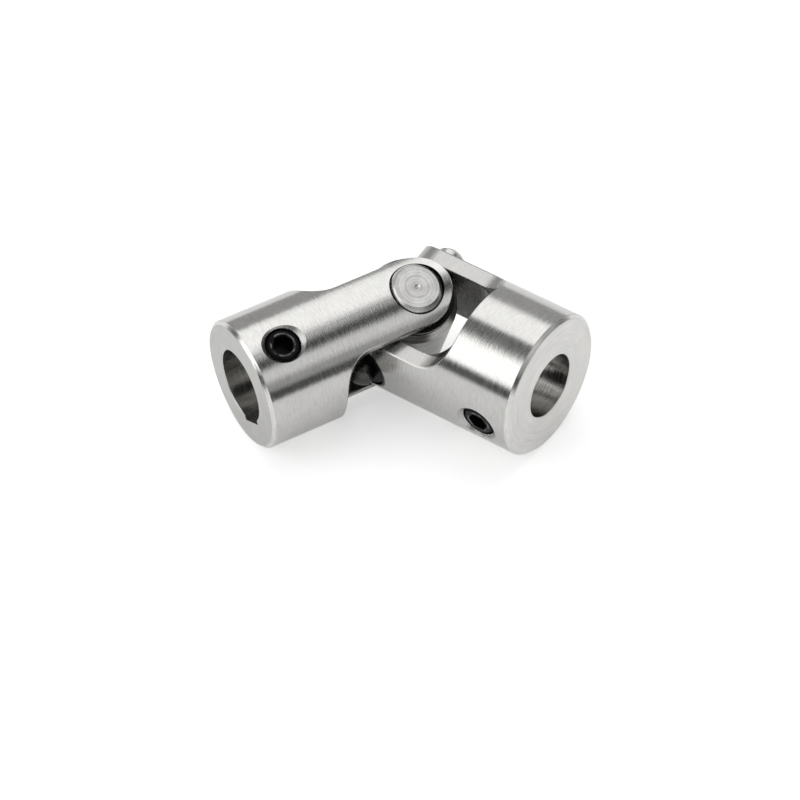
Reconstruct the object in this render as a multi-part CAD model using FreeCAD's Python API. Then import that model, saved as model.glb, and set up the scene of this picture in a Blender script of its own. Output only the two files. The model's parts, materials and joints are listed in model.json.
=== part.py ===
import FreeCAD, Part
import math
import os
from FreeCAD import Placement, Rotation, Vector

# Single universal shaft coupling in turned and milled steel, all sizes in mm.
# Two forked yokes hinge on a centre block. The left yoke turns on a large pin,
# and the right yoke turns on a small pin that crosses the large one.

# Forks, the same milling on both yokes
slot_depth = 12.4
slot_corner_radius = 4.5
side_cutter_radius = 4.5
edge_break = 0.12

# Left yoke
left_bore = 10.0
left_hub_wall = 4.0
left_reach = 24.9
left_hub_length = 11.0
left_ear_thickness = 2.6
left_eye_wall = 1.4
left_end_wall = 1.25
left_key_width = 4.0
left_key_depth = 0.25
left_key_angle = -36.0

# Right yoke
right_bore = 9.0
right_hub_wall = 5.5
right_reach = 23.4
right_hub_length = 10.5
right_ear_thickness = 3.6
right_eye_wall = 2.7
right_end_wall = 1.5
spot_face_margin = 1.3
spot_face_depth = 0.65

# Ends of both hubs
rim_chamfer = 0.5
bore_chamfer = 0.1

# Set screws and their holes
screw_diameter = 4.8
screw_from_face = 5.0
screw_recess = 0.5
screw_tip_clearance = 0.2
screw_clearance = 0.03
countersink_width = 0.62
hex_across_flats = 2.5
hex_depth = 2.0
screw_chamfer = 0.4
screw_point_cone = 0.5

# Pins
large_pin_diameter = 7.0
large_pin_proud = 0.05
large_pin_chamfer = 0.55
large_pin_dimple = 0.4
small_pin_diameter = 4.2
small_pin_proud = 2.1
small_pin_dome = 1.1
pin_clearance = 0.05
fixed_clearance = 0.01

# Centre block and washers
block_slot_clearance = 0.2
block_chamfer = 0.8
washer_wall = 1.9
washer_thickness = 0.9
washer_clearance = 0.05

# How the coupling lies: the headings of the two shafts, seen from above,
# and the lean of the large pin towards the front
left_heading = 29.8
right_heading = 36.3
pin_lean = 24.7

# Worked out from the sizes above
left_diameter = left_bore + 2 * left_hub_wall
right_diameter = right_bore + 2 * right_hub_wall
left_slot_width = left_diameter - 2 * left_ear_thickness
right_slot_width = right_diameter - 2 * right_ear_thickness
large_running_hole = large_pin_diameter + 2 * pin_clearance
small_running_hole = small_pin_diameter + 2 * pin_clearance
large_fixed_hole = large_pin_diameter + 2 * fixed_clearance
small_fixed_hole = small_pin_diameter + 2 * fixed_clearance
washer_seat = left_slot_width / 2 - washer_clearance

OVER = 1.0
SMOOTH_ANGLE = 0.2
X_AXIS = Vector(1, 0, 0)
Y_AXIS = Vector(0, 1, 0)
Z_AXIS = Vector(0, 0, 1)
ORIGIN = Vector(0, 0, 0)


def wire_face(edges):
    return Part.Face(Part.Wire(edges))


def line(start, end):
    return Part.LineSegment(start, end).toShape()


def arc(start, middle, end):
    return Part.Arc(start, middle, end).toShape()


def turned(profile):
    """Solid turned about X from (x, radius) points."""
    points = [Vector(x, 0, radius) for x, radius in profile]
    face = Part.Face(Part.makePolygon(points + points[:1]))
    return face.revolve(ORIGIN, X_AXIS, 360)


def turned_about_z(profile):
    """Solid turned about Z from (radius, z) points."""
    points = [Vector(radius, 0, z) for radius, z in profile]
    face = Part.Face(Part.makePolygon(points + points[:1]))
    return face.revolve(ORIGIN, Z_AXIS, 360)


def hub_blank(diameter, reach, ear_end):
    """The turned bar, from the ear ends to the chamfered hub face."""
    radius = diameter / 2
    start = -ear_end - OVER
    return turned([(start, 0), (start, radius), (reach - rim_chamfer, radius),
                   (reach, radius - rim_chamfer), (reach, 0)])


def fork_outline(diameter, reach, hub_start, ear_width, ear_end):
    """The fork seen along its pin: round ears, milled sides and full hub."""
    ear = ear_width / 2
    cutter = side_cutter_radius
    outer = diameter / 2 + cutter + OVER
    far = reach + OVER
    bend = cutter * math.sqrt(0.5)
    arc_start = hub_start - cutter
    arc_side = ear + cutter
    round_centre = ear - ear_end

    def at(x, y):
        return Vector(x, y, -diameter)

    edges = [arc(at(round_centre, ear), at(-ear_end, 0), at(round_centre, -ear))]
    edges.append(line(at(round_centre, -ear), at(arc_start, -ear)))
    edges.append(arc(at(arc_start, -ear), at(arc_start + bend, -arc_side + bend),
                     at(hub_start, -arc_side)))
    edges.append(line(at(hub_start, -arc_side), at(hub_start, -outer)))
    edges.append(line(at(hub_start, -outer), at(far, -outer)))
    edges.append(line(at(far, -outer), at(far, outer)))
    edges.append(line(at(far, outer), at(hub_start, outer)))
    edges.append(line(at(hub_start, outer), at(hub_start, arc_side)))
    edges.append(arc(at(hub_start, arc_side), at(arc_start + bend, arc_side - bend),
                     at(arc_start, ear)))
    edges.append(line(at(arc_start, ear), at(round_centre, ear)))
    return wire_face(edges).extrude(Vector(0, 0, 2 * diameter))


def fork_slot(diameter, width):
    """The slot between the ears, with round corners at its end."""
    half = width / 2
    radius = slot_corner_radius
    bend = radius * (1 - math.sqrt(0.5))
    mouth = -diameter
    round_start = slot_depth - radius

    def at(x, z):
        return Vector(x, -diameter, z)

    edges = [line(at(mouth, -half), at(round_start, -half))]
    edges.append(arc(at(round_start, -half), at(slot_depth - bend, -half + bend),
                     at(slot_depth, -half + radius)))
    edges.append(line(at(slot_depth, -half + radius), at(slot_depth, half - radius)))
    edges.append(arc(at(slot_depth, half - radius), at(slot_depth - bend, half - bend),
                     at(round_start, half)))
    edges.append(line(at(round_start, half), at(mouth, half)))
    edges.append(line(at(mouth, half), at(mouth, -half)))
    return wire_face(edges).extrude(Vector(0, 2 * diameter, 0))


def bore_cut(bore, reach):
    """The shaft bore, from the slot to the face, with a chamfered mouth."""
    radius = bore / 2
    mouth = radius + bore_chamfer
    start = slot_depth - OVER
    return turned([(start, 0), (start, radius), (reach - bore_chamfer, radius),
                   (reach, mouth), (reach + OVER, mouth), (reach + OVER, 0)])


def key_cut(bore, reach, width, depth, angle):
    """A shallow key groove along the bore, turned about the shaft axis."""
    start = slot_depth - OVER
    groove = Part.makeBox(reach + OVER - start, bore / 2 + depth, width,
                          Vector(start, 0, -width / 2))
    groove.rotate(ORIGIN, X_AXIS, angle)
    return groove


def screw_hole(diameter, reach):
    """The set screw's hole, with its countersink on the hub's surface."""
    radius = screw_diameter / 2
    surface = diameter / 2
    wide = radius + countersink_width
    profile = [(0, 0), (radius, 0), (radius, surface - countersink_width),
               (wide, surface), (wide, surface + OVER), (0, surface + OVER)]
    hole = turned_about_z(profile)
    hole.translate(Vector(reach - screw_from_face, 0, 0))
    return hole


def round_bar(diameter, length, axis):
    """A centred round bar along an axis through the joint centre."""
    return Part.makeCylinder(diameter / 2, length, axis * (-length / 2), axis)


def is_sharp(shape, edge):
    """Whether the two faces at an edge meet at an angle."""
    faces = shape.ancestorsOfType(edge, Part.Face)
    if len(faces) != 2:
        return False
    middle = edge.valueAt((edge.FirstParameter + edge.LastParameter) / 2)
    normals = [face.normalAt(*face.Surface.parameter(middle)) for face in faces]
    return normals[0].getAngle(normals[1]) > SMOOTH_ANGLE


def break_edges(body, reach):
    """A fine chamfer on every sharp edge of the fork, but not on the hub's rim."""
    rim = reach - rim_chamfer - edge_break
    edges = [edge for edge in body.Edges if edge.BoundBox.XMax < rim and is_sharp(body, edge)]
    return body.makeChamfer(edge_break, edges)


def yoke(diameter, reach, hub_length, ear_width, ear_end, slot_width):
    """A bare yoke: the shaft runs along +X and its pin lies along Z."""
    outline = fork_outline(diameter, reach, reach - hub_length, ear_width, ear_end)
    body = hub_blank(diameter, reach, ear_end).common(outline)
    body = body.cut(fork_slot(diameter, slot_width))
    body = break_edges(body, reach)
    return body.cut(screw_hole(diameter, reach))


def left_yoke():
    """The left yoke, with its large eyes and a shallow groove along its bore."""
    ear_width = large_running_hole + 2 * left_eye_wall
    ear_end = large_running_hole / 2 + left_end_wall
    body = yoke(left_diameter, left_reach, left_hub_length, ear_width, ear_end, left_slot_width)
    body = body.cut(round_bar(large_running_hole, 2 * left_diameter, Z_AXIS))
    body = body.cut(bore_cut(left_bore, left_reach))
    return body.cut(key_cut(left_bore, left_reach, left_key_width, left_key_depth, left_key_angle))


def right_yoke():
    """The right yoke, spot faced round the ends of the small pin."""
    ear_width = small_fixed_hole + 2 * right_eye_wall
    ear_end = small_fixed_hole / 2 + right_end_wall
    body = yoke(right_diameter, right_reach, right_hub_length, ear_width, ear_end, right_slot_width)
    body = body.cut(round_bar(small_fixed_hole, 2 * right_diameter, Z_AXIS))
    for side in (1, -1):
        floor = Z_AXIS * (side * (right_diameter / 2 - spot_face_depth))
        radius = small_fixed_hole / 2 + spot_face_margin
        body = body.cut(Part.makeCylinder(radius, right_diameter, floor, Z_AXIS * side))
    return body.cut(bore_cut(right_bore, right_reach))


def set_screw(diameter, reach, bore):
    """A hex socket set screw that stops just short of the bore."""
    radius = screw_diameter / 2 - screw_clearance
    top = diameter / 2 - screw_recess
    tip = bore / 2 + screw_tip_clearance
    profile = [(0, tip), (radius - screw_point_cone, tip), (radius, tip + screw_point_cone),
               (radius, top - screw_chamfer), (radius - screw_chamfer, top), (0, top)]
    screw = turned_about_z(profile)
    corner = hex_across_flats / math.sqrt(3)
    corners = [Vector(corner * math.cos(math.radians(60 * i)),
                      corner * math.sin(math.radians(60 * i)), top - hex_depth)
               for i in range(6)]
    socket = Part.Face(Part.makePolygon(corners + corners[:1])).extrude(Vector(0, 0, hex_depth + OVER))
    screw = screw.cut(socket)
    screw.translate(Vector(reach - screw_from_face, 0, 0))
    return screw


def large_pin():
    """The large pin along Z, chamfered and dimpled, drilled across for the small pin."""
    radius = large_pin_diameter / 2
    end = left_diameter / 2 + large_pin_proud
    edge = radius - large_pin_chamfer
    profile = [(0, -end), (edge, -end), (radius, -end + large_pin_chamfer),
               (radius, end - large_pin_chamfer), (edge, end),
               (large_pin_dimple, end), (0, end - large_pin_dimple)]
    pin = turned_about_z(profile)
    return pin.cut(round_bar(small_running_hole, left_diameter, Y_AXIS))


def small_pin():
    """The small pin along Z, with a rounded end standing out of each right ear."""
    radius = small_pin_diameter / 2
    top = right_diameter / 2 + small_pin_proud
    straight = top - small_pin_dome
    sphere = (radius ** 2 + small_pin_dome ** 2) / (2 * small_pin_dome)
    middle = top - sphere + math.sqrt(sphere ** 2 - (radius / 2) ** 2)

    def at(x, z):
        return Vector(x, 0, z)

    edges = [line(at(0, 0), at(radius, 0))]
    edges.append(line(at(radius, 0), at(radius, straight)))
    edges.append(arc(at(radius, straight), at(radius / 2, middle), at(0, top)))
    edges.append(line(at(0, top), at(0, 0)))
    half = wire_face(edges).revolve(ORIGIN, Z_AXIS, 360)
    return half.fuse(half.mirror(ORIGIN, Z_AXIS)).removeSplitter()


def centre_block():
    """Round block between the washers, with both pin holes across it."""
    radius = right_slot_width / 2 - block_slot_clearance
    height = washer_seat - washer_thickness - washer_clearance
    edge = radius - block_chamfer
    side = height - block_chamfer
    block = turned_about_z([(0, -height), (edge, -height), (radius, -side), (radius, side),
                            (edge, height), (0, height)])
    block = block.cut(round_bar(large_fixed_hole, 2 * left_slot_width, Z_AXIS))
    return block.cut(round_bar(small_running_hole, 2 * right_slot_width, Y_AXIS))


def washer():
    """Washer above the block, on the large pin."""
    inner = large_running_hole / 2
    outer = inner + washer_wall
    bottom = washer_seat - washer_thickness
    return turned_about_z([(inner, bottom), (outer, bottom), (outer, washer_seat), (inner, washer_seat)])


def placed(shape, x_direction, z_direction):
    """The shape with its own X and Z turned to the given directions."""
    y_direction = z_direction.cross(x_direction)
    turn = Placement(ORIGIN, Rotation(x_direction, y_direction, z_direction, "ZXY"))
    copy = shape.copy()
    copy.Placement = turn.multiply(shape.Placement)
    return copy


def shaft_directions():
    """The right yoke lies flat, and the left one dips until its rim touches down."""
    left_radius = left_diameter / 2
    along = left_reach - rim_chamfer
    dip = (math.asin(right_diameter / 2 / math.hypot(along, left_radius))
           - math.atan2(left_radius, along))
    left = math.radians(left_heading)
    right = math.radians(right_heading)
    left_shaft = Vector(-math.cos(left) * math.cos(dip), -math.sin(left) * math.cos(dip), -math.sin(dip))
    right_shaft = Vector(math.cos(right), -math.sin(right), 0)
    return left_shaft, right_shaft


def pin_directions(left_shaft, right_shaft):
    """The large pin leans to the front, and the small pin is square to it and to its shaft."""
    side = left_shaft.cross(Z_AXIS).normalize()
    up = side.cross(left_shaft).normalize()
    lean = math.radians(pin_lean)
    large = up * math.cos(lean) - side * math.sin(lean)
    small = large.cross(right_shaft).normalize()
    if small.y > 0:
        small = small * -1
    return large, small


def pieces():
    """Every node's solid, in place about the joint centre."""
    left_shaft, right_shaft = shaft_directions()
    large, small = pin_directions(left_shaft, right_shaft)
    across = small.cross(large)
    left_screw = set_screw(left_diameter, left_reach, left_bore)
    right_screw = set_screw(right_diameter, right_reach, right_bore)
    return {
        "left_yoke": placed(left_yoke(), left_shaft, large),
        "left_set_screw": placed(left_screw, left_shaft, large),
        "centre_block": placed(centre_block(), across, large),
        "large_pin": placed(large_pin(), across, large),
        "upper_washer": placed(washer(), across, large),
        "lower_washer": placed(washer(), across, large * -1),
        "right_yoke": placed(right_yoke(), right_shaft, small),
        "right_set_screw": placed(right_screw, right_shaft, small),
        "small_pin": placed(small_pin(), right_shaft, small),
    }


def main():
    os.makedirs("parts", exist_ok=True)
    solids = pieces()
    box = Part.makeCompound(list(solids.values())).optimalBoundingBox(False, False)
    to_origin = Vector(-box.Center.x, -box.Center.y, -box.ZMin)
    for name, solid in solids.items():
        solid.translate(to_origin)
        solid.exportStep(os.path.join("parts", name + ".step"))
        print(name, "solids", len(solid.Solids), "volume %.2f" % solid.Volume, "valid", solid.isValid())
    left_shaft, right_shaft = shaft_directions()
    large, small = pin_directions(left_shaft, right_shaft)
    print("joint centre", tuple(to_origin))
    print("left shaft", tuple(left_shaft), "right shaft", tuple(right_shaft))
    print("large pin", tuple(large), "small pin", tuple(small))
    print("size", round(box.XLength, 3), round(box.YLength, 3), round(box.ZLength, 3))


main()
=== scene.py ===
from collections import namedtuple
import json
import math

import bmesh
import bpy
from mathutils import Matrix, Vector

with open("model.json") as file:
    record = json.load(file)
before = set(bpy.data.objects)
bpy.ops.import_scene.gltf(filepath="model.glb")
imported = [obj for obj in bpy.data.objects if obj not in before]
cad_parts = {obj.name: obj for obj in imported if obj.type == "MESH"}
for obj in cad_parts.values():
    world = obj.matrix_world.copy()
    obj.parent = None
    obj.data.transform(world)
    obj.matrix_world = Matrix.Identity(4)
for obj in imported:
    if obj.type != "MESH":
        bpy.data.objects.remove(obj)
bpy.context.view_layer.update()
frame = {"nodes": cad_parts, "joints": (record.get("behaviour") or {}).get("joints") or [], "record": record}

MM = 0.001

# Where the coupling is, read from the frame
NODES = frame["nodes"]
MOUNTS = {mount["name"]: mount for mount in frame["record"]["mounts"]}
HINGES = {joint["child"]: joint for joint in frame["joints"]}
JOINT_CENTRE = Vector(HINGES["cross"]["pos_m"])
LARGE_PIN_AXIS = Vector(HINGES["cross"]["axis"]).normalized()
SMALL_PIN_AXIS = Vector(HINGES["right"]["axis"]).normalized()


def shaft_of(side):
    """The way that the shaft in a yoke's bore points, out of the joint."""
    return Vector(MOUNTS[side + "_bore"]["axis"]).normalized()


def square_to(arm, axis):
    """The part of an arm that is square to an axis."""
    return arm - axis * arm.dot(axis)


def arms_of(node):
    """The ways from the joint centre to the points of a CAD node's mesh, in metres."""
    return [point.co - JOINT_CENTRE for point in NODES[node].data.vertices]


def reach_of(node, axis):
    """How far a CAD node reaches from the joint centre along an axis, in mm."""
    return max(arm.dot(axis) for arm in arms_of(node)) / MM


def radius_of(node, axis):
    """How far a CAD node reaches from an axis through the joint centre, in mm."""
    return max(square_to(arm, axis).length for arm in arms_of(node)) / MM


NOISE_MIDDLE = 0.5


class Value:
    """A shader socket that Python's operators join with Math nodes."""

    def __init__(self, finish, socket):
        self.finish = finish
        self.socket = socket

    def math(self, operation, *others):
        """A Math node on this value and the others."""
        inputs = dict(enumerate((self,) + others))
        return self.finish.node("ShaderNodeMath", inputs, operation=operation)

    def __add__(self, other):
        return self.math("ADD", other)

    def __radd__(self, other):
        return self.math("ADD", other)

    def __sub__(self, other):
        return self.math("SUBTRACT", other)

    def __rsub__(self, other):
        return self.finish.node("ShaderNodeMath", {0: other, 1: self}, operation="SUBTRACT")

    def __mul__(self, other):
        return self.math("MULTIPLY", other)

    def __rmul__(self, other):
        return self.math("MULTIPLY", other)

    def __truediv__(self, other):
        return self.math("DIVIDE", other)

    def sqrt(self):
        return self.math("SQRT")

    def arcsine(self):
        return self.math("ARCSINE")

    def arctangent(self, other):
        """The angle whose tangent is this over the other."""
        return self.math("ARCTAN2", other)

    def absolute(self):
        return self.math("ABSOLUTE")

    def highest(self, other):
        return self.math("MAXIMUM", other)

    def step(self, low, high):
        """0 below low, 1 above high and a smooth rise between."""
        inputs = {"Value": self, "From Min": low, "From Max": high}
        return self.finish.node("ShaderNodeMapRange", inputs, interpolation_type="SMOOTHSTEP")

    def between(self, low, high, edge):
        """1 from low to high, and 0 outside, with soft edges."""
        return self.step(low - edge, low + edge) * (1 - self.step(high - edge, high + edge))

    def sharpened(self, spread):
        """Noise with more contrast: it is 0 and 1 this far below and above its middle."""
        return self.step(NOISE_MIDDLE - spread, NOISE_MIDDLE + spread)

    def raising(self, least, rise):
        """A number that this mask raises."""
        return least + self * rise


class Finish:
    """A material that is built from plain calls."""

    def __init__(self, name):
        self.material = bpy.data.materials.new(name)
        self.material.use_nodes = True
        self.tree = self.material.node_tree
        self.surface = self.tree.nodes["Principled BSDF"]

    def node(self, kind, inputs=None, output=0, **settings):
        """A node with its settings, and with the values or links of its sockets."""
        made = self.tree.nodes.new(kind)
        for name, value in settings.items():
            setattr(made, name, value)
        for key, value in (inputs or {}).items():
            self.join(made.inputs[key], value)
        return Value(self, made.outputs[output])

    def join(self, socket, value):
        """Links a value to a socket, or sets a plain number or colour on it."""
        if isinstance(value, Value):
            self.tree.links.new(value.socket, socket)
        else:
            socket.default_value = value

    def set(self, **inputs):
        """Values for the surface: Base_Color is the socket Base Color."""
        for name, value in inputs.items():
            self.join(self.surface.inputs[name.replace("_", " ")], value)

    def local(self, shaft, pin, centre=JOINT_CENTRE):
        """Position in mm about a centre, with X along the shaft and Z along the pin."""
        place = self.node("ShaderNodeTexCoord", output="Object")
        turn = Matrix((shaft, pin.cross(shaft), pin)).transposed().to_euler()
        inputs = {"Vector": place, "Location": centre, "Rotation": turn, "Scale": (MM, MM, MM)}
        return self.node("ShaderNodeMapping", inputs, vector_type="TEXTURE")

    def parts(self, vector):
        """The X, Y and Z of a vector."""
        return [self.node("ShaderNodeSeparateXYZ", {0: vector}, output=i) for i in range(3)]

    def vector(self, x, y, z):
        return self.node("ShaderNodeCombineXYZ", {0: x, 1: y, 2: z})

    def noise(self, vector, scale=1.0, detail=3.0, roughness=0.6):
        inputs = {"Vector": vector, "Scale": scale, "Detail": detail, "Roughness": roughness}
        return self.node("ShaderNodeTexNoise", inputs)

    def mix(self, mask, first, second):
        """A colour that goes from first to second with the mask."""
        inputs = {0: mask, 6: first, 7: second}
        return self.node("ShaderNodeMix", inputs, output=2, data_type="RGBA")

    def shade(self, colour, level):
        """A colour times a level."""
        inputs = {0: colour, "Scale": level}
        return self.node("ShaderNodeVectorMath", inputs, output="Vector", operation="SCALE")

    def bump(self, height, depth, strength=1.0):
        """The surface's normal over marks whose depth is in mm."""
        inputs = {"Height": height, "Strength": strength, "Distance": depth * MM}
        return self.node("ShaderNodeBump", inputs, output="Normal")


BRIGHT_STEEL = (0.73, 0.725, 0.71, 1.0)
DULL_STEEL = (0.46, 0.455, 0.44, 1.0)
PALE_STEEL = (0.97, 0.965, 0.95, 1.0)
SATIN_STEEL = (0.58, 0.575, 0.56, 1.0)
GLINT_STEEL = (0.2, 0.2, 0.195, 1.0)
# The next two colours are painted shade: on the small pin's front end, and on the ear round it, in the gaps
# round the pins and above and below the washers' band.
PIN_END_SHADE = (0.08, 0.079, 0.076, 1.0)
SHADE_BLACK = (0.012, 0.012, 0.012, 1.0)
OXIDE_BLACK = (0.003, 0.003, 0.0035, 1.0)

# Sizes of the yokes and pins that the finishes follow, in mm
SLOT_HALF_WIDTH = 6.4
SLOT_DEPTH = 12.4
RIM_CHAMFER = 0.5
LARGE_PIN_RADIUS = 3.5
SMALL_PIN_RADIUS = 2.1
PIN_GAP = 0.14

# How far from a CAD edge each finish changes, and over what width, in mm
FACE_MARGIN = 0.02
BORE_MARGIN = 0.06
PIN_GAP_MARGIN = 0.06
SLOT_MARGIN = 0.08
EDGE_SOFTNESS = 0.04

# How a cut leaves the steel: strokes per mm along the shaft and across it, and roughness.
# On an end face the first number is the rings per mm of its radius.
Cut = namedtuple("Cut", "fine wide rough")
TURNED = Cut(fine=7, wide=0.8, rough=0.11)
FACED = Cut(fine=8, wide=0.3, rough=0.3)
BORED = Cut(fine=5, wide=0.2, rough=0.14)
MILLED = Cut(fine=6, wide=0.5, rough=0.24)

# Strokes and clouds of the yokes' steel, and how much of each shows in its colour
STROKE_GRAIN = 0.65
STROKE_SPREAD = 0.25
STROKE_DEPTH = 0.006
STROKE_ROUGHNESS = 0.08
STROKE_SHARE = 0.4
YOKE_CLOUDS_PER_MM = 0.35
YOKE_CLOUD_DETAIL = 4.0
CLOUD_SHARE = 0.4
PLAIN_SHARE = 0.14
FACE_STROKE_LOSS = 0.6

# How much lighter or darker than the turned outside each place on a yoke is, and how much
# smoother the milled ears are at their rim
MILLED_DARKER = 0.16
RIM_LIGHTER = 0.4
BORE_LIGHTER = 0.3
# The slot is darkened with painted shade.
SLOT_PAINTED_SHADE = 0.6
RIM_SMOOTHER = 0.12

# Painted shade at the small pin's front end, in mm: its radius round the pin, and how far up the
# pin's axis it begins on the ear and, with a ragged edge, on the pin
FRONT_SHADE_RADIUS = 3.9
FRONT_SHADE_SOFTNESS = 0.3
SHADED_EAR = (7, 8)
SHADED_PIN = (5, 7)
SHADE_RAGGEDNESS = 2

# Each yoke's side, the axis and radius of its pin, how far painted shade spreads round that pin,
# and how much painted light or shade the end face has beside the turned outside
Yoke = namedtuple("Yoke", "side pin pin_radius grease_radius face_level")
YOKES = (
    Yoke("left", LARGE_PIN_AXIS, LARGE_PIN_RADIUS, LARGE_PIN_RADIUS, 0.94),
    Yoke("right", SMALL_PIN_AXIS, SMALL_PIN_RADIUS, FRONT_SHADE_RADIUS, 1.3),
)


def past(value, edge, soft=EDGE_SOFTNESS):
    """1 where a value is above an edge, and 0 below it."""
    return value.step(edge - soft, edge)


def within(value, edge, soft=EDGE_SOFTNESS):
    """1 where a value is below an edge, and 0 above it."""
    return 1 - past(value, edge, soft)


def yoke_steel(yoke):
    """A yoke's steel: turned outside and face, ringed bore, milled ears and a slot darkened with painted
    shade.
    """
    node = yoke.side + "_yoke"
    shaft = shaft_of(yoke.side)
    reach = reach_of(node, shaft)
    outside = radius_of(node, shaft)
    bore = MOUNTS[yoke.side + "_bore"]["dims"]["r_mm"]
    finish = Finish(yoke.side + "_steel")
    place = finish.local(shaft, yoke.pin)
    along, across, height = finish.parts(place)
    radius = (across * across + height * height).sqrt()
    from_pin = (along * along + across * across).sqrt()

    faced = past(along, reach - FACE_MARGIN)
    turned = past(radius, outside - FACE_MARGIN)
    bored = within(radius, bore + BORE_MARGIN) * (1 - faced)
    milled = (1 - faced) * (1 - turned) * (1 - bored)
    rim = milled * past(radius, outside - RIM_CHAMFER) * past(along, reach - RIM_CHAMFER)
    slot = milled * within(height.absolute(), SLOT_HALF_WIDTH + SLOT_MARGIN)
    slot = slot * within(along, SLOT_DEPTH + SLOT_MARGIN)
    # Painted shade in the gap round each pin.
    pin_gap_shade = within(from_pin, yoke.pin_radius + PIN_GAP + PIN_GAP_MARGIN)
    # Painted shade on the ear round the small pin's front end.
    front_shade = within(from_pin, yoke.grease_radius, FRONT_SHADE_SOFTNESS) * height.step(*SHADED_EAR)

    fine = turned * TURNED.fine + bored * BORED.fine + milled * MILLED.fine
    wide = turned * TURNED.wide + faced * FACED.wide + bored * BORED.wide + milled * MILLED.wide
    rings = radius * faced * FACED.fine
    strokes = finish.vector(along * fine + rings, across * wide, height * wide)
    marks = finish.noise(strokes, roughness=STROKE_GRAIN).sharpened(STROKE_SPREAD)
    cloud = finish.noise(place, YOKE_CLOUDS_PER_MM, detail=YOKE_CLOUD_DETAIL)
    shine = marks * STROKE_SHARE + cloud * CLOUD_SHARE + PLAIN_SHARE
    # The end face's level is painted light on the right yoke and painted shade on the left.
    level = 1 - milled * MILLED_DARKER + rim * RIM_LIGHTER + faced * (yoke.face_level - 1)
    # The slot's loss is painted shade.
    level = level + bored * BORE_LIGHTER - slot * SLOT_PAINTED_SHADE
    steel = finish.shade(finish.mix(shine, DULL_STEEL, BRIGHT_STEEL), level)
    finish.set(Base_Color=finish.mix(front_shade.highest(pin_gap_shade), steel, SHADE_BLACK), Metallic=1.0)
    rough = turned * TURNED.rough + faced * FACED.rough + bored * BORED.rough
    rough = rough + milled * MILLED.rough - rim * RIM_SMOOTHER
    finish.set(Roughness=rough + marks * STROKE_ROUGHNESS)
    finish.set(Normal=finish.bump(marks * (1 - faced * FACE_STROKE_LOSS), STROKE_DEPTH))
    return finish.material


# Rings and clouds of the block and the large pin. The ring pattern is a slice through noise.
RINGS_PER_MM = 3.2
RINGS_PER_MM_ALONG = 1.5
RING_SLICE = 0.5
RING_GRAIN = 0.7
RING_SPREAD = 0.12
RING_SHARE = 0.65
RING_DEPTH = 0.01
RING_ROUGHNESS = {"least": 0.3, "rise": 0.12}
TURNED_CLOUDS_PER_MM = 0.8
TURNED_CLOUD_SPREAD = 0.15
TURNED_CLOUD_SHARE = 0.35


def turned_steel(name, dull, bright):
    """Turned steel with fine uneven rings round the large pin's axis, on its faces too."""
    finish = Finish(name)
    place = finish.local(SMALL_PIN_AXIS, LARGE_PIN_AXIS)
    x, y, z = finish.parts(place)
    radius = (x * x + y * y).sqrt()
    turns = finish.vector(radius * RINGS_PER_MM, RING_SLICE, z * RINGS_PER_MM_ALONG)
    rings = finish.noise(turns, roughness=RING_GRAIN).sharpened(RING_SPREAD)
    cloud = finish.noise(place, TURNED_CLOUDS_PER_MM).sharpened(TURNED_CLOUD_SPREAD)
    marks = rings * RING_SHARE + cloud * TURNED_CLOUD_SHARE
    finish.set(Base_Color=finish.mix(marks, dull, bright), Metallic=1.0)
    finish.set(Roughness=marks.raising(**RING_ROUGHNESS))
    finish.set(Normal=finish.bump(marks, RING_DEPTH))
    return finish.material


# The oily roughness of the washers and the small pin. Plain steel runs round both washers in a
# band at this height above and below the joint centre, in mm; above and below it the rim has painted shade.
OILY_ROUGHNESS = {"least": 0.2, "rise": 0.15}
WASHER_BAND = (5.8, 6.12)
WASHER_BAND_EDGE = 0.06
WASHER_CLOUDS_PER_MM = 1.5
SMALL_PIN_CLOUDS_PER_MM = 1.2


def washer_steel(name):
    """The washers' steel: a band of steel round the middle of the rim, with painted shade above and below
    it.
    """
    finish = Finish(name)
    place = finish.local(SMALL_PIN_AXIS, LARGE_PIN_AXIS)
    height = finish.parts(place)[2].absolute()
    cloud = finish.noise(place, WASHER_CLOUDS_PER_MM)
    band = height.between(*WASHER_BAND, WASHER_BAND_EDGE)
    # Painted shade on the rim above and below the band.
    finish.set(Base_Color=finish.mix(band, SHADE_BLACK, BRIGHT_STEEL), Metallic=1.0)
    finish.set(Roughness=cloud.raising(**OILY_ROUGHNESS))
    return finish.material


def small_pin_steel(name):
    """The small pin: bright steel at the back, and painted shade at the front end."""
    finish = Finish(name)
    place = finish.local(LARGE_PIN_AXIS, SMALL_PIN_AXIS)
    forward = finish.parts(place)[2]
    cloud = finish.noise(place, SMALL_PIN_CLOUDS_PER_MM)
    # Painted shade over the pin's front end, with a ragged edge.
    shaded_end = (forward + cloud * SHADE_RAGGEDNESS).step(*SHADED_PIN)
    steel = finish.mix(cloud, DULL_STEEL, BRIGHT_STEEL)
    finish.set(Base_Color=finish.mix(shaded_end, steel, PIN_END_SHADE), Metallic=1.0)
    finish.set(Roughness=cloud.raising(**OILY_ROUGHNESS))
    return finish.material


# Dark oxide of the set screws, and painted glints of bright steel round the mouth of their sockets, in mm
SOCKET_MOUTH = 1.48
SOCKET_GLINT = 0.2
SOCKET_GLINT_EDGE = 0.06
SOCKET_GLINT_SPREAD = 0.1
OXIDE_GRAINS_PER_MM = 1.1
OXIDE_GRAIN_DEPTH = 0.01
OXIDE_GRAIN_STRENGTH = 0.3
OXIDE_ROUGHNESS = {"least": 0.2, "rise": 0.2}
OXIDE_GLOSS = 0.12


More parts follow.
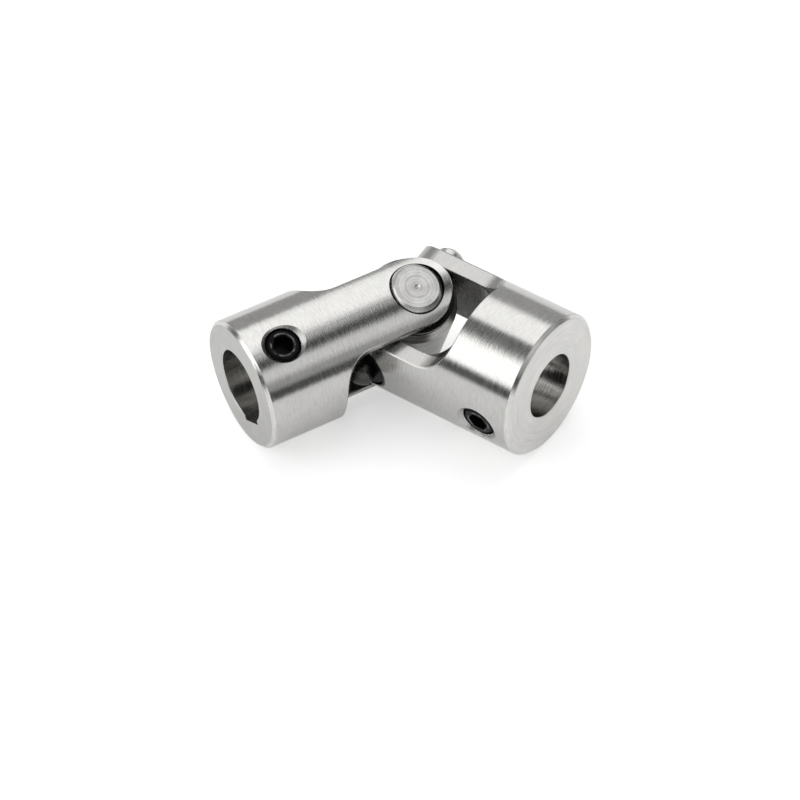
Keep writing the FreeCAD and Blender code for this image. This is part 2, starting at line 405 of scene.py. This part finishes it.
def black_oxide(name, node, shaft):
    """Dark oxide on a set screw, with painted glints of bright steel at the mouth of its socket."""
    points = [point.co for point in NODES[node].data.vertices]
    centre = sum(points, Vector()) / len(points)
    out = square_to(centre - JOINT_CENTRE, shaft).normalized()
    finish = Finish(name)
    place = finish.local(shaft, out, centre)
    along, across = finish.parts(place)[:2]
    radius = (along * along + across * across).sqrt()
    grain = finish.noise(place, OXIDE_GRAINS_PER_MM, detail=2.0, roughness=0.5)
    mouth = radius.between(SOCKET_MOUTH, SOCKET_MOUTH + SOCKET_GLINT, SOCKET_GLINT_EDGE)
    # Painted glints: patches of bright steel round the socket's mouth.
    painted_glint = mouth * grain.sharpened(SOCKET_GLINT_SPREAD)
    finish.set(Base_Color=finish.mix(painted_glint, OXIDE_BLACK, GLINT_STEEL), Metallic=painted_glint)
    finish.set(Roughness=grain.raising(**OXIDE_ROUGHNESS), Specular_IOR_Level=OXIDE_GLOSS)
    finish.set(Normal=finish.bump(grain, OXIDE_GRAIN_DEPTH, OXIDE_GRAIN_STRENGTH))
    return finish.material


def dress(node, material):
    """Gives a CAD node its material."""
    mesh = NODES[node].data
    mesh.materials.clear()
    mesh.materials.append(material)


def dress_all():
    """Gives every node its own finish."""
    for yoke in YOKES:
        dress(yoke.side + "_yoke", yoke_steel(yoke))
    dress("centre_block", turned_steel("block_steel", DULL_STEEL, BRIGHT_STEEL))
    dress("large_pin", turned_steel("large_pin_steel", SATIN_STEEL, PALE_STEEL))
    dress("small_pin", small_pin_steel("small_pin_steel"))
    washers = washer_steel("washer_steel")
    dress("upper_washer", washers)
    dress("lower_washer", washers)
    for yoke in YOKES:
        screw = yoke.side + "_set_screw"
        dress(screw, black_oxide(yoke.side + "_black_screw", screw, shaft_of(yoke.side)))


# The photograph's camera: it looks down by this angle, from this far off the joint
PHOTO_SIZE = 800
PHOTO_FOCAL = 3670.0
SENSOR_WIDTH = 36.0
NEAREST_SEEN = 0.01
CAMERA_PITCH = math.radians(43.15)
CAMERA_ROLL = math.radians(0.31)
CAMERA_DISTANCE = 487.8 * MM
JOINT_PIXEL = (405.1, 315.9)


def make_camera():
    """The camera, placed so that the joint centre is seen at its pixel."""
    data = bpy.data.cameras.new("camera")
    data.sensor_width = SENSOR_WIDTH
    data.lens = data.sensor_width * PHOTO_FOCAL / PHOTO_SIZE
    data.clip_start = NEAREST_SEEN
    camera = bpy.data.objects.new("camera", data)
    bpy.context.scene.collection.objects.link(camera)
    turn = Matrix.Rotation(math.pi / 2 - CAMERA_PITCH, 3, "X") @ Matrix.Rotation(-CAMERA_ROLL, 3, "Z")
    right, up, back = turn.col
    across = (JOINT_PIXEL[0] - PHOTO_SIZE / 2) / PHOTO_FOCAL
    below = (JOINT_PIXEL[1] - PHOTO_SIZE / 2) / PHOTO_FOCAL
    camera.location = JOINT_CENTRE + CAMERA_DISTANCE * (back - right * across + up * below)
    camera.rotation_euler = turn.to_euler()
    bpy.context.scene.camera = camera


def put_on_stage(name, shape, material):
    """Makes a stage object from a bmesh."""
    mesh = bpy.data.meshes.new(name)
    shape.to_mesh(mesh)
    shape.free()
    made = bpy.data.objects.new(name, mesh)
    bpy.context.scene.collection.objects.link(made)
    mesh.materials.append(material)
    material.cycles.emission_sampling = "NONE"
    return made


WHITE = (1.0, 1.0, 1.0, 1.0)
BLACK = (0.0, 0.0, 0.0, 1.0)

# The floor, in metres, and how much it glows where the camera or a reflection sees it
FLOOR_HALF_WIDTH = 2.0
FLOOR_COLOUR = (0.93, 0.93, 0.93, 1.0)
FLOOR_ROUGHNESS = 0.9
SEEN_FLOOR_LIFT = 0.48
MIRRORED_FLOOR_LIFT = 0.2


def make_floor():
    """A white floor that keeps the shadow, lifted to white where it is seen or mirrored."""
    finish = Finish("white_floor")
    seen = finish.node("ShaderNodeLightPath", output="Is Camera Ray")
    glossy = finish.node("ShaderNodeLightPath", output="Is Glossy Ray")
    mirrored = glossy + finish.node("ShaderNodeLightPath", output="Is Transmission Ray")
    finish.set(Base_Color=FLOOR_COLOUR, Roughness=FLOOR_ROUGHNESS, Specular_IOR_Level=0.0)
    lift = seen * SEEN_FLOOR_LIFT + mirrored * MIRRORED_FLOOR_LIFT
    finish.set(Emission_Color=lift, Emission_Strength=1.0)
    shape = bmesh.new()
    bmesh.ops.create_grid(shape, x_segments=1, y_segments=1, size=FLOOR_HALF_WIDTH)
    put_on_stage("floor", shape, finish.material)


# The dome, in metres. Its rings are those of the whole sphere that it is cut from.
DOME_RADIUS = 3.0
DOME_SEGMENTS = 64
DOME_RINGS = 32

# The dome's patches. Each has an azimuth and an elevation, and each of these its two ends and
# half the width of its soft edges, in degrees. Azimuth is 0 towards the camera and 90 at the
# right, but the back softbox's is 0 away from the camera.
LEFT_BOX = ((-100, -30, 6), (17, 53, 4))
BACK_BOX = ((-48, 62, 8), (38, 74, 4))
RIGHT_BOX = ((28, 78, 6), (31, 50, 4))
HORIZON = ((-115, 115, 10), (2, 16, 2))
RIGHT_GAP = ((25, 125, 10), (53, 66, 2))
LEFT_GAP = ((-128, -80, 8), (55, 76, 4))
TOP_RISE = (68, 74)

# The dome's brightness, and what its patches add or take away
DOME_LEVEL = 0.42
LEFT_BOX_LEVEL = 1.34
BACK_BOX_LEVEL = 0.98
RIGHT_BOX_LEVEL = 0.45
TOP_LEVEL = 0.5
HORIZON_LOSS = 0.34
RIGHT_GAP_LOSS = 0.34
LEFT_GAP_LOSS = 0.25


def patch(azimuth, elevation, sides):
    """1 on a patch of the dome, and 0 off it."""
    around, upward = sides
    return azimuth.between(*around) * elevation.between(*upward)


def studio_level(finish):
    """The dome's brightness: softboxes at the left, behind and at the right, and dark gaps."""
    x, y, z = finish.parts(finish.node("ShaderNodeTexCoord", output="Object"))
    degrees = 180 / math.pi
    azimuth = x.arctangent(y * -1) * degrees
    behind = x.arctangent(y) * degrees
    elevation = (z / DOME_RADIUS).arcsine() * degrees
    left = patch(azimuth, elevation, LEFT_BOX)
    back = patch(behind, elevation, BACK_BOX)
    right = patch(azimuth, elevation, RIGHT_BOX)
    horizon = patch(azimuth, elevation, HORIZON)
    right_gap = patch(azimuth, elevation, RIGHT_GAP)
    left_gap = patch(azimuth, elevation, LEFT_GAP)
    top = elevation.step(*TOP_RISE) * (1 - left_gap)
    level = left * LEFT_BOX_LEVEL + back * BACK_BOX_LEVEL + right * RIGHT_BOX_LEVEL
    level = level + top * TOP_LEVEL + DOME_LEVEL
    return level - horizon * HORIZON_LOSS - right_gap * RIGHT_GAP_LOSS - left_gap * LEFT_GAP_LOSS


def make_dome():
    """A studio dome that lights the coupling and is mirrored in it, unseen by the camera."""
    finish = Finish("studio_dome")
    finish.set(Base_Color=BLACK, Roughness=1.0, Specular_IOR_Level=0.0)
    finish.set(Emission_Color=studio_level(finish), Emission_Strength=1.0)
    shape = bmesh.new()
    bmesh.ops.create_uvsphere(shape, u_segments=DOME_SEGMENTS, v_segments=DOME_RINGS,
                              radius=DOME_RADIUS)
    bmesh.ops.bisect_plane(shape, geom=shape.verts[:] + shape.edges[:] + shape.faces[:],
                           plane_co=(0, 0, 0), plane_no=(0, 0, -1), clear_outer=True)
    dome = put_on_stage("studio_dome", shape, finish.material)
    dome.visible_camera = False


def make_world():
    """White beyond the floor."""
    world = bpy.data.worlds.new("white_surroundings")
    bpy.context.scene.world = world
    world.use_nodes = True
    background = world.node_tree.nodes["Background"]
    background.inputs["Color"].default_value = WHITE
    background.inputs["Strength"].default_value = 1.0


dress_all()
make_floor()
make_dome()
make_world()
make_camera()
bpy.context.scene.view_settings.view_transform = "Standard"
